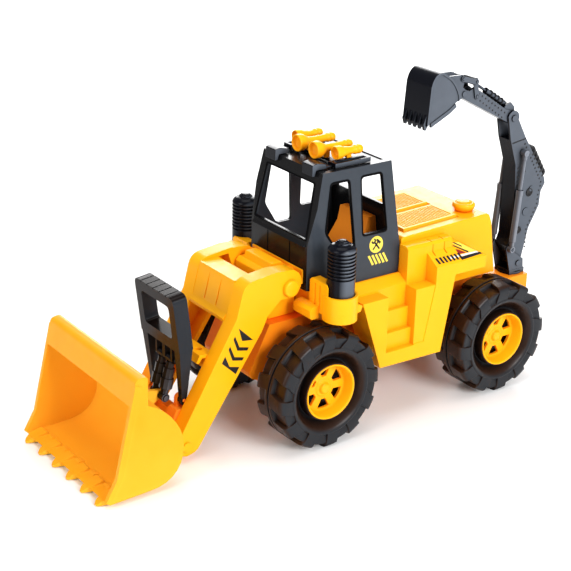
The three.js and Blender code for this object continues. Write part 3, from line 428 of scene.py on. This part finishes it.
# Across one lug's pitch: (distance from the pocket's middle, share of the pocket's depth).
POCKET_EDGE = 0.272
POCKET = [(0.5, 0), (0.4, 0), (0.3, 0), (POCKET_EDGE, 0), (0.266, 0.05), (0.261, 0.22), (0.252, 0.92), (0.246, 1),
          (0.2, 1), (0.1, 1), (0, 1)]


def pocket_share(distance, r):
    """The pocket narrows towards the bead, and the lug beside it widens."""
    narrow = 1 - 0.4 * min(max((58 - r) / 10, 0.0), 1.0)
    if distance <= POCKET_EDGE:
        return distance * narrow
    narrowed = POCKET_EDGE * narrow
    return narrowed + (distance - POCKET_EDGE) * (0.5 - narrowed) / (0.5 - POCKET_EDGE)


def tyre(centre):
    """The tyre, whose lugs are what is left between two staggered rows of slanted pockets.

    A pocket is cut in from the side near the bead and from above at the tread, and `lean` blends the two.
    """
    bm = bmesh.new()
    rings = []
    for x, r, depth in tyre_section():
        ring = []
        side = 1 if x > TYRE_MIDDLE else -1
        stagger = 0.0 if side > 0 else 0.5
        slant = max(0.0, 60 - r) * 0.012 + max(0.0, abs(x - TYRE_MIDDLE) - 5) * 0.006
        lean = min(max((r - 52) / 12.5, 0.0), 1.0)
        across_lug = [(-distance, deep) for distance, deep in POCKET]
        across_lug += [(distance, deep) for distance, deep in POCKET[-2:0:-1]]
        for lug in range(LUGS):
            for distance, deep in across_lug:
                sunk = depth * deep
                share = 0.5 + math.copysign(pocket_share(abs(distance), r), distance)
                angle = 2 * math.pi * (lug + share + stagger + slant) / LUGS
                radius = r - sunk * lean
                across = x - side * sunk * (1 - lean)
                ring.append(bm.verts.new((across, radius * math.cos(angle), radius * math.sin(angle))))
        rings.append(ring)
    count = len(rings[0])
    for low, high in zip(rings, rings[1:] + rings[:1]):
        for i in range(count):
            j = (i + 1) % count
            bm.faces.new((low[i], low[j], high[j], high[i]))
    bmesh.ops.recalc_face_normals(bm, faces=bm.faces)
    bmesh.ops.translate(bm, verts=bm.verts, vec=(0, *centre))
    return bm


def wheel_web(centre):
    """The black hub behind the spokes, which carries the tyre."""
    profile = [(3.4, 66), (31.6, 66), (32.2, 67), (32.2, 84), (30.8, 84), (29.4, 76), (8, 74), (6.8, 80),
               (6.8, 89), (3.4, 89), (3.4, 66)]
    return lathe(profile, "x", (0, *centre), 72)


def rim_dish(centre):
    profile = [(29.4, 86), (30.2, 87), (30.5, 101.5), (30.8, 106.3), (30.6, 106.8), (29.9, 107.0), (29.2, 106.7),
               (28.6, 105.6), (28.2, 103.0), (26.6, 95.6), (26.0, 94.1), (25.0, 93.3), (24.4, 92.4), (24.4, 91.4),
               (25.2, 90.4), (27.4, 88.4), (28.4, 86.4), (29.4, 86)]
    return lathe(profile, "x", (0, *centre), 96)


def spokes(centre):
    """The star of six spokes, as a flat curve with six windows."""
    flat = bpy.data.curves.new("star", "CURVE")
    flat.dimensions = "2D"
    flat.fill_mode = "BOTH"
    flat.extrude = 1.4
    flat.bevel_depth = 0.6
    flat.bevel_resolution = 2
    flat.offset = -0.6
    outlines = [arc((0, 0), 26.2, 0, 360, 95)[:-1], arc((0, 0), 3.2, 0, 360, 23)[:-1]]
    for window in range(6):
        turn = 60 * window + 30
        points = arc((0, 0), 23.8, turn - 18.5, turn + 18.5, 10)
        points += arc((0, 0), 13.2, turn + 11, turn - 11, 4)
        outlines.append(rounded(points, 1.4, 3))
    for points in outlines:
        spline = flat.splines.new("POLY")
        spline.points.add(len(points) - 1)
        for target, (a, b) in zip(spline.points, points):
            target.co = (a, b, 0, 1)
        spline.use_cyclic_u = True
    obj = bpy.data.objects.new("star", flat)
    bpy.context.scene.collection.objects.link(obj)
    bpy.context.view_layer.update()
    mesh = bpy.data.meshes.new_from_object(obj.evaluated_get(bpy.context.evaluated_depsgraph_get()))
    bm = bmesh.new()
    bm.from_mesh(mesh)
    bmesh.ops.remove_doubles(bm, verts=bm.verts, dist=0.001)
    for vert in bm.verts:
        a, b, t = vert.co
        vert.co = (STAR_X + t, centre[0] + a, centre[1] + b)
    bmesh.ops.recalc_face_normals(bm, faces=bm.faces)
    bpy.data.objects.remove(obj)
    bpy.data.curves.remove(flat)
    bpy.data.meshes.remove(mesh)
    return bm


def rim_cap(centre):
    profile = [(0, 89.6), (10.6, 89.6), (10.8, 93.0), (10.2, 94.0), (8.4, 94.6), (7.4, 94.2), (6.4, 94.6),
               (5.8, 96.0), (5.2, 97.0), (3.8, 97.5), (0, 97.6)]
    return lathe(profile, "x", (0, *centre), 48)


def wheel(label, y):
    centre = (y, TYRE_R)
    body = f"{label}_wheels"
    for side, flip in (("left", False), ("right", True)):
        shapes = {
            "tyre": ("tyre_black", [tyre(centre), wheel_web(centre)]),
            "rim": ("yellow_plastic", [rim_dish(centre), spokes(centre), rim_cap(centre)]),
        }
        for part, (slot, made) in shapes.items():
            solids = [mirrored(shape) for shape in made] if flip else made
            piece(f"{label}_{part}_{side}_moulded", body, slot, *solids, replaces=[f"{label}_{part}_{side}"])


# ---- Stacks, lamps, cap and hood grilles ----
def exhaust_stack():
    base, radius = 140.3, 15.0
    profile = [(0, base), (radius - 0.8, base), (radius - 0.2, base + 0.8), (radius - 0.2, 183.6)]
    for rib in range(8):
        z = 184 + rib * 3.9
        profile += [(radius - 1.7, z + 0.2), (radius - 1.7, z + 1.0), (radius, z + 1.6), (radius, z + 3.4)]
    profile += [(radius - 0.6, 216.0), (radius - 1.8, 217.6), (radius - 4.0, 219.2), (radius - 6.6, 220.0)]
    profile += [(7.4, 220.2), (7.1, 221.8), (5.6, 222.4), (5.2, 223.4), (4.2, 223.9), (0, 224)]
    return lathe(rounded(profile, 0.5, 2, closed=False), "z", (88, 22, 0), 64)


def roof_light(x, y, cup, length):
    profile = [
        (0, 5.5), (cup - 3.4, 5.0), (cup - 2.2, 3.4), (cup - 1.5, 0.5), (cup - 0.9, 0), (cup - 0.2, 0.3),
        (cup, 1.4), (cup - 0.1, 6.4), (cup - 0.6, 8.2), (cup * 0.74, 11.4), (5.0, 14.4), (4.3, 18),
        (4.1, 21), (4.1, length - 12), (4.9, length - 11), (5.2, length - 9.6), (4.4, length - 8.6),
        (4.4, length - 7.2), (5.1, length - 6.2), (5.1, length - 4.4), (4.0, length - 1.4), (2.8, length - 0.3),
        (0, length),
    ]
    lamp = lathe(profile, "y", (x, y, 298), 40)
    foot = box(x - 2, x + 2, y + 15, y + 21, 287.8 if cup > 8 else 290.7, 297, 0.4)
    return [lamp, foot]


def filler_cap():
    z = 201.6
    profile = [(0, z), (10.4, z), (11, z + 1.4), (12.6, z + 3.6), (13, z + 5.6), (12.7, z + 7.4), (11.6, z + 8.6),
               (10.2, z + 8.9), (9.6, z + 8.4), (8.8, z + 8.3), (8.2, z + 9.6), (6, z + 10.2), (0, z + 10.5)]
    return lathe(profile, "z", (35, 237, 0), 56)


def hood_top(y):
    """The hood's height, which rises a little towards the rear."""
    return 197 + (y - 125.5) * 4.3 / 125


def on_hood(y0, y1, low, high, x0, x1, bevel=0.5):
    """A slab that follows the hood, between two heights measured from its top."""
    z0, z1 = hood_top(y0), hood_top(y1)
    outline = [(y0, z0 + low), (y1, z1 + low), (y1, z1 + high), (y0, z0 + high)]
    return slab(outline, "x", x0, x1, bevel)


def deck_grille():
    """A framed panel filled with rows of small raised pads."""
    shapes = [
        on_hood(140, 217, -2.1, 1.7, 4, 46, 0.6),
        on_hood(140, 217, 1.2, 2.4, 4, 7.6, 0.4), on_hood(140, 217, 1.2, 2.4, 42.4, 46, 0.4),
        on_hood(140, 144, 1.2, 2.4, 7, 43, 0.4), on_hood(213, 217, 1.2, 2.4, 7, 43, 0.4),
    ]
    pad_length, pad_width = 2.3, 1.9
    for row in range(20):
        for column in range(12):
            y = 145.2 + row * 3.36
            x = 8.6 + column * 2.76
            shapes.append(on_hood(y, y + pad_length, 1.5, 2.3, x, x + pad_width, 0))
    return shapes


# ---- Small mouldings that the CAD leaves out ----
ARM_PIN = (-16.5, 167.3)
ARM_FACE = 52
BOOM_FACE = 10.5
STICK_FACE = 7.6


def stud(y, z, face, radius=1.1, height=0.7):
    """A rivet head on a side face."""
    profile = [(radius, -0.2), (radius, height * 0.4), (radius * 0.7, height * 0.85), (0, height)]
    return lathe(profile, "x", (face, y, z), 12)


def boss_ring(y, z, face, radius):
    """A raised ring with a sunk centre on a side face."""
    profile = [(radius, -0.2), (radius, 0.9), (radius - 0.4, 1.2), (radius - 1.0, 1.2), (radius - 1.3, 0.9),
               (radius - 1.4, 0.1), (0, 0.1)]
    return lathe(profile, "x", (face, y, z), 32)


def along(points, spacing):
    """Points at a steady spacing along an open line."""
    spots = []
    carried = 0.0
    for start, end in zip(points, points[1:]):
        start, end = Vector(start), Vector(end)
        length = (end - start).length
        reach = carried
        while reach < length:
            spots.append(tuple(start.lerp(end, reach / length)))
            reach += spacing
        carried = reach - length
    return spots


def on_both_sides(shapes):
    return shapes + [mirrored(shape) for shape in shapes]


def boom_mouldings():
    front_edge = [(345.5, 136), (345.5, 204), (343.5, 226)]
    rear_edge = [(366.5, 122), (366.5, 146), (380.5, 173), (381.5, 190), (385, 200), (350, 257)]
    studs = [stud(y, z, BOOM_FACE) for line in (front_edge, rear_edge) for y, z in along(line, 5.6)]
    rings = [boss_ring(y, z, BOOM_FACE, radius)
             for y, z, radius in ((365.7, 191.9, 5.2), (353, 146, 4.2), (353.4, 220, 2.4))]
    seam = slab([(331, 257), (352, 260), (352.4, 261.2), (331, 258.4)], "x", BOOM_FACE - 0.3, BOOM_FACE + 0.5, 0.2)
    return on_both_sides([*studs, *rings, seam])


def stick_mouldings():
    rows = (((274.3, 324.3), (316.7, 296.5)), ((271.4, 319.4), (312.6, 291.4)))
    studs = []
    for start, end in rows:
        for index in range(9):
            y, z = Vector(start).lerp(Vector(end), index / 8)
            studs.append(stud(y, z, STICK_FACE, 1.0, 0.6))
    return on_both_sides(studs)


def collars(foot, top, distances, radius, width):
    """Raised rings round a ram that lies between two points."""
    direction = (Vector(top) - Vector(foot)).normalized()
    made = []
    for distance in distances:
        start = Vector(foot) + direction * distance
        made.append(rod(start, start + direction * width, [(0, radius), (width, radius)]))
    return made


def bead(outline, at, width=2.4, height=0.8):
    """A raised bead round an opening. `at` turns an outline point and a height into a position."""
    bm = bmesh.new()
    middle = sum((Vector(p) for p in outline), Vector((0, 0))) / len(outline)
    loops = []
    for grow, lift in ((-0.1, -1.0), (-0.1, height * 0.7), (0.2, height), (width - 0.4, height), (width, -0.3)):
        spread = [Vector(p) + (Vector(p) - middle).normalized() * grow for p in outline]
        loops.append([bm.verts.new(at(p.x, p.y, lift)) for p in spread])
    count = len(outline)
    for low, high in zip(loops, loops[1:]):
        for i in range(count):
            j = (i + 1) % count
            bm.faces.new((low[i], low[j], high[j], high[i]))
    bmesh.ops.recalc_face_normals(bm, faces=bm.faces)
    return bm


def arm_pin_head():
    """The round head outside the arm, on the hinge pin's end."""
    profile = [(0, 52.1), (8.8, 52.1), (9.0, 52.4), (9.0, 55.9), (8.4, 56.9), (7.0, 57.4), (0, 57.5)]
    return lathe(profile, "x", (0, *ARM_PIN), 40)


def door_face(z):
    """The cab side's X at a height: upright at the bottom, leaning in above."""
    return 60 - max(0, z - 181) * 7 / 104


def windscreen_face(z):
    """The cab front's Y at a height: upright at the bottom, leaning back above."""
    return 5 + max(0, z - 209) * 16 / 76


def window_beads():
    def on_door(y, z, lift):
        return (door_face(z) + lift, y, z)

    def on_front(x, z, lift):
        return (x, windscreen_face(z) - lift, z)

    front_door = rounded([(31, 272), (55, 272), (62, 195), (42, 195), (24.5, 222)], 4)
    rear_door = rounded([(71, 273), (98, 273), (105, 210), (73, 210)], 4)
    windscreen = rounded([(-42, 272), (42, 272), (46, 214), (-46, 214)], 2)
    return on_both_sides([bead(front_door, on_door), bead(rear_door, on_door)]) + [bead(windscreen, on_front)]


# ---- Decals ----
def side_decal(name, body, outlines, face, material, slot):
    """Flat marks just proud of a side face, whose X may change with height, on both sides of the toy."""
    for side in (1, -1):
        made = []
        for outline in outlines:
            mark = slab(outline, "x", -0.1, 0.15, 0)
            for vert in mark.verts:
                vert.co.x += face(vert.co.z)
            made.append(mark if side > 0 else mirrored(mark))
        piece(f"{name}_{'left' if side > 0 else 'right'}", body, slot, *made, material=material)


def chevrons():
    """Four black marks on the arm: a triangle, two chevrons and a wide closing mark."""
    chevron = [(-84.5, 128.7), (-86.5, 125.5), (-81.6, 112), (-69.2, 109.1), (-67.4, 112.2), (-79, 115.3)]
    step = (-6, -9.8)
    return [
        [(-80, 136.5), (-75.8, 121.5), (-62, 119.3)],
        chevron,
        [(y + step[0], z + step[1]) for y, z in chevron],
        [(-96.5, 109), (-100.5, 102), (-83.3, 85.7), (-79, 92.7), (-91, 96)],
    ]


def turned_outline(points, centre, degrees):
    turn = math.radians(degrees)
    cos, sin = math.cos(turn), math.sin(turn)
    return [(centre[0] + a * cos - b * sin, centre[1] + a * sin + b * cos) for a, b in points]


def crossed_tools(centre):
    """A hammer and an open spanner, laid across each other."""
    hammer = [(-0.9, -7), (0.9, -7), (0.9, 3), (3.6, 3), (3.6, 5.8), (-2.6, 5.8), (-3.8, 4.6), (-2.4, 3), (-0.9, 3)]
    spanner = [(-1, -7), (1, -7), (1, 2.6), (3, 4), (3, 7), (1.2, 7.2), (1.2, 5), (-1.2, 5), (-1.2, 7.2), (-3, 7),
               (-3, 4), (-1, 2.6)]
    return [turned_outline(hammer, centre, -42), turned_outline(spanner, centre, 38)]


def door_stripes():
    stripes = []
    for index in range(5):
        y = 80 + index * 4.9
        stripes.append([(y + 5.6, 173.4), (y + 8.2, 174.2), (y + 4.3, 181), (y + 2.0, 185.4), (y - 0.6, 184.6),
                        (y + 1.6, 181)])
    return stripes


def draped(surface, corners, lift=0.3, steps=10):
    """A four-cornered mark laid on a surface, given as (x, y) corners seen from above."""
    above = 300

    def top(x, y):
        return surface.ray_cast(place(x, y, above), Vector((0, 0, -1)))[0].z * 1000

    bm = bmesh.new()
    a, b, c, d = (Vector(corner) for corner in corners)
    grid = []
    for i in range(steps + 1):
        left, right = a.lerp(b, i / steps), d.lerp(c, i / steps)
        row = [left.lerp(right, j / steps) for j in range(steps + 1)]
        grid.append([bm.verts.new((p.x, p.y, top(p.x, p.y) + lift)) for p in row])
    for low, high in zip(grid, grid[1:]):
        for i in range(steps):
            bm.faces.new((low[i], high[i], high[i + 1], low[i + 1]))
    bmesh.ops.recalc_face_normals(bm, faces=bm.faces)
    if next(iter(bm.faces)).normal.z < 0:
        bmesh.ops.reverse_faces(bm, faces=bm.faces)
    return bm


def mudguard_marks():
    """A striped band along the outer edge that ends in a point, with a second band turning back from it."""
    surface = BVHTree.FromObject(nodes["side_pod_left"], bpy.context.evaluated_depsgraph_get())
    bars = [draped(surface, [(83.2, y), (83.2, y + 3), (90.2, y + 3.6), (90.2, y + 0.6)])
            for y in (154.5 + 5.3 * bar for bar in range(7))]
    band = draped(surface, [(88.0, 187), (87.4, 219), (89.8, 220.5), (91.6, 187)])
    outer_line = draped(surface, [(70.5, 201), (70.5, 204.6), (87.6, 221), (88.6, 218)])
    inner_line = draped(surface, [(74, 187), (74, 189.6), (84.2, 203), (85.4, 201)])
    tail_line = draped(surface, [(70.5, 190), (70.5, 193), (76.5, 199.4), (77.6, 198.2)])
    white = draped(surface, [(85.4, 174), (85.8, 218), (87.4, 219), (87.8, 174)], 0.2)
    paper = draped(surface, [(71, 189), (71, 203), (86, 218), (85, 203)], 0.15)
    wedge = draped(surface, [(78.5, 188), (80, 192), (85, 199), (84.6, 188)], 0.2)
    return {"ink_and_shade_black": [*bars, band, outer_line, inner_line, tail_line], "decal_white": [white],
            "decal_yellow": [paper], "decal_red": [wedge]}


# ---- The studio ----
def camera():
    data = bpy.data.cameras.new("camera")
    data.lens = 89.98
    data.sensor_width = 36
    data.clip_start = 0.05
    data.clip_end = 20
    eye = place(1154.25, -826.28, 734.89)
    target = place(-60.9, 60.0, 113.6)
    back = (eye - target).normalized()
    right = Vector((0, 0, 1)).cross(back).normalized()
    up = back.cross(right)
    roll = math.radians(1.4)
    rolled_right = right * math.cos(roll) + up * math.sin(roll)
    rolled_up = up * math.cos(roll) - right * math.sin(roll)
    obj = bpy.data.objects.new("camera", data)
    obj.matrix_world = Matrix.Translation(eye) @ Matrix((rolled_right, rolled_up, back)).transposed().to_4x4()
    bpy.context.scene.collection.objects.link(obj)
    bpy.context.scene.camera = obj


def area_light(name, where, target, size, power):
    data = bpy.data.lights.new(name, "AREA")
    data.shape = "DISK"
    data.size = size
    data.energy = power
    obj = bpy.data.objects.new(name, data)
    obj.location = where
    obj.rotation_euler = (Vector(target) - Vector(where)).to_track_quat("-Z", "Y").to_euler()
    bpy.context.scene.collection.objects.link(obj)


def floor():
    reach = 6
    mesh = bpy.data.meshes.new("floor")
    corners = [(-reach, -reach, 0), (reach, -reach, 0), (reach, reach, 0), (-reach, reach, 0)]
    mesh.from_pydata(corners, [], [(0, 1, 2, 3)])
    m = Nodes("floor")
    m.put(m.shader.inputs["Base Color"], m.mix(m.noise(3), (0.93, 0.93, 0.93), (0.97, 0.97, 0.97)))
    m.shader.inputs["Roughness"].default_value = 0.7
    mesh.materials.append(m.material)
    obj = bpy.data.objects.new("floor", mesh)
    bpy.context.scene.collection.objects.link(obj)


def studio():
    camera()
    floor()
    world = bpy.data.worlds.new("studio")
    world.use_nodes = True
    world.node_tree.nodes["Background"].inputs["Color"].default_value = (1, 1, 1, 1)
    world.node_tree.nodes["Background"].inputs["Strength"].default_value = 0.42
    bpy.context.scene.world = world
    area_light("key", (2.1, 0.1, 1.2), (0, 0, 0.15), 1.2, 48)
    area_light("front", (0.2, -2.2, 1.2), (0, 0, 0.15), 1.4, 20)
    area_light("back", (-1.9, 1.4, 1.1), (0, 0, 0.2), 1.6, 52)
    area_light("top", (0, 0, 2.6), (0, 0, 0), 2.0, 24)
    bpy.context.scene.view_settings.view_transform = "Standard"


# ---- Putting it together ----
REPLACED = {"tyre", "rim", "stack", "light", "cap", "grille"}
for name in nodes:
    if not REPLACED & set(name.split("_")):
        dressed(name)

wheel("front", 0)
wheel("rear", WHEELBASE)

stack = exhaust_stack()
piece("exhaust_stack_right_moulded", "vehicle", "black_plastic", mirrored(stack), replaces=["exhaust_stack_right"])
piece("exhaust_stack_left_moulded", "vehicle", "black_plastic", stack, replaces=["exhaust_stack_left"])
lamps = [(-35, 49, 7.2, 36), (-15, 36, 9.2, 51), (15, 36, 9.2, 51), (35, 49, 7.2, 36)]
for number, (x, y, cup, length) in enumerate(lamps, 1):
    piece(f"roof_light_{number}_moulded", "vehicle", "yellow_plastic", *roof_light(x, y, cup, length),
          replaces=[f"roof_light_{number}"])
piece("filler_cap_moulded", "vehicle", "yellow_plastic", filler_cap(), replaces=["filler_cap"])
grille = deck_grille()
piece("deck_grille_right_moulded", "vehicle", "yellow_plastic", *[mirrored(shape) for shape in grille],
      material="grille_yellow", replaces=["deck_grille_right"])
piece("deck_grille_left_moulded", "vehicle", "yellow_plastic", *grille, material="grille_yellow",
      replaces=["deck_grille_left"])

# The window beads are near black: a painted shadow outline round the windows.
piece("window_beads", "vehicle", "charcoal_plastic", *window_beads(), material="bead_shadow_black")
# The boom's studs and rings take near-black ink: painted shade, so that they read as sunk dark dots.
piece("boom_mouldings", "boom_arm", "black_plastic", *boom_mouldings(), material="ink_and_shade_black")
stick_ram = ((0, 388.5, 206), (0, 351, 264))
ribs = collars(*stick_ram, (3, 10, 17, 24, 31, 38), 10.8, 3.0)
sleeve = collars(*stick_ram, (1,), 8.2, 44)
piece("stick_ram_collars", "boom_arm", "black_plastic", *ribs, *sleeve, material="ink_and_shade_black")
piece("arm_pin_heads", "vehicle", "yellow_plastic", *on_both_sides([arm_pin_head()]))
# The stick's studs take near-black ink: painted shade, so that they read as sunk dark dots.
piece("stick_mouldings", "stick_arm", "black_plastic", *stick_mouldings(), material="ink_and_shade_black")
piece("dig_ram_collars", "dig_barrel", "black_plastic",
      *collars((0, 324, 303), (0, 266, 340), (9, 16, 23, 30), 4.6, 1.8), material="ink_and_shade_black")

side_decal("arm_chevrons", "loader_arms", chevrons(), lambda z: ARM_FACE, "ink_and_shade_black", "yellow_plastic")
emblem = (91, 196)
side_decal("door_disc", "vehicle", [arc(emblem, 9.2, 0, 360, 35)[:-1]], door_face, "decal_yellow", "charcoal_plastic")
side_decal("door_tools", "vehicle", crossed_tools(emblem), lambda z: door_face(z) + 0.1, "ink_and_shade_black",
           "charcoal_plastic")
side_decal("door_stripes", "vehicle", door_stripes(), door_face, "decal_yellow", "charcoal_plastic")
for material, marks in mudguard_marks().items():
    copies = [mirrored(mark) for mark in marks]
    piece(f"mudguard_{material}_right", "vehicle", "yellow_plastic", *copies, material=material)
    piece(f"mudguard_{material}_left", "vehicle", "yellow_plastic", *marks, material=material)

studio()
